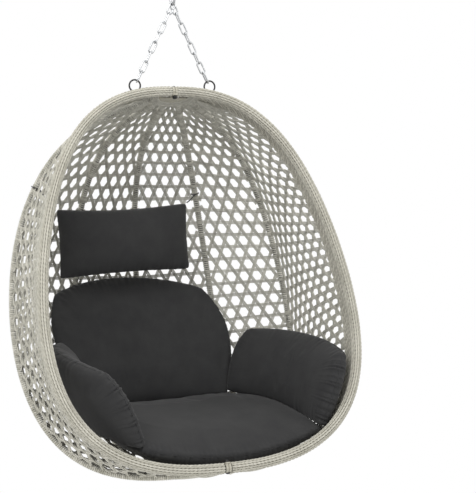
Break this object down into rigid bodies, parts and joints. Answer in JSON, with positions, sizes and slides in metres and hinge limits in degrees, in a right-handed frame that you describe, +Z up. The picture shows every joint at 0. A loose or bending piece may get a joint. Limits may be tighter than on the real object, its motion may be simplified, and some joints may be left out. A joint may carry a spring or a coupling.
{
  "type": "hanging egg chair",
  "caption": "Woven egg-shaped basket seat on a ribbed steel frame with a front ring, loose cushions, and a two-legged chain hung from a spring.",
  "frame": {"origin": "inside the top of the upper quick link, where the chair hangs from its hook", "axes": "+Z up, the chair's open front faces -Y, +X to the left of a person sitting in it"},
  "size_m": [0.99, 0.8514, 1.7363],
  "materials": {
    "zinc_steel": "satin",
    "black_steel": "satin",
    "painted_collar": "satin",
    "rattan": "matte",
    "charcoal_fabric": "matte",
    "black_cord": "matte"
  },
  "bodies": {
    "hanger": {"top_quick_link": "zinc_steel"},
    "upper_nut": {"top_link_nut": "zinc_steel"},
    "spring_body": {"spring": "zinc_steel"},
    "lower_link": {"lower_quick_link": "zinc_steel"},
    "lower_nut": {"lower_link_nut": "zinc_steel"},
    "chains": {"chain_end_links": "zinc_steel", "chain_left": "zinc_steel", "chain_right": "zinc_steel"},
    "basket": {"eye_left": "black_steel", "eye_right": "black_steel", "ring_left": "black_steel", "ring_right": "black_steel", "top_collar": "painted_collar", "bottom_collar": "painted_collar", "top_rib_plate": "painted_collar", "bottom_rib_plate": "painted_collar", "pole_bolts": "black_steel", "pole_nuts": "black_steel", "rib_left_outer": "black_steel", "rib_left_inner": "black_steel", "rib_spine": "black_steel", "rib_right_inner": "black_steel", "rib_right_outer": "black_steel", "wrap_left_outer": "rattan", "wrap_left_inner": "rattan", "wrap_spine": "rattan", "wrap_right_inner": "rattan", "wrap_right_outer": "rattan", "band_left": "rattan", "band_right": "rattan", "panel_left_side": "rattan", "panel_left_mid": "rattan", "panel_left_back": "rattan", "panel_right_back": "rattan", "panel_right_mid": "rattan", "panel_right_side": "rattan", "seat_cushion": "charcoal_fabric", "back_cushion": "charcoal_fabric", "arm_cushion_left": "charcoal_fabric", "arm_cushion_right": "charcoal_fabric", "pillow_cords": "black_cord", "pillow_hooks": "black_steel"},
    "head_pillow": {"pillow": "charcoal_fabric"}
  },
  "joints": [
    {"name": "upper_nut_turn", "type": "slide", "parent": "hanger", "child": "upper_nut", "axis": [0, 0, 1], "range_m": [0, 0.017]},
    {"name": "swing_fore_aft", "type": "hinge", "parent": "hanger", "child": "spring_body", "pos_m": [0, 0, -0.0716], "axis": [1, 0, 0], "range_deg": [-20, 20]},
    {"name": "spring_stretch", "type": "slide", "parent": "spring_body", "child": "lower_link", "axis": [0, 0, -1], "range_m": [0, 0.012], "stiffness_N_per_m": 121000, "springref_m": -0.003, "deforming": ["spring"]},
    {"name": "lower_nut_turn", "type": "slide", "parent": "lower_link", "child": "lower_nut", "axis": [0, 0, 1], "range_m": [0, 0.017]},
    {"name": "swing_side", "type": "hinge", "parent": "lower_link", "child": "chains", "pos_m": [0, 0, -0.30635], "axis": [0, 1, 0], "range_deg": [-18, 18]},
    {"name": "basket_tilt", "type": "hinge", "parent": "chains", "child": "basket", "pos_m": [0, 0, -0.53498], "axis": [1, 0, 0], "range_deg": [-15, 15]},
    {"name": "pillow_tilt", "type": "hinge", "parent": "basket", "child": "head_pillow", "pos_m": [-0.11227, 0.15665, -0.92229], "axis": [-0.9943, -0.1045, -0.0198], "range_deg": [0, 45]}
  ]
}
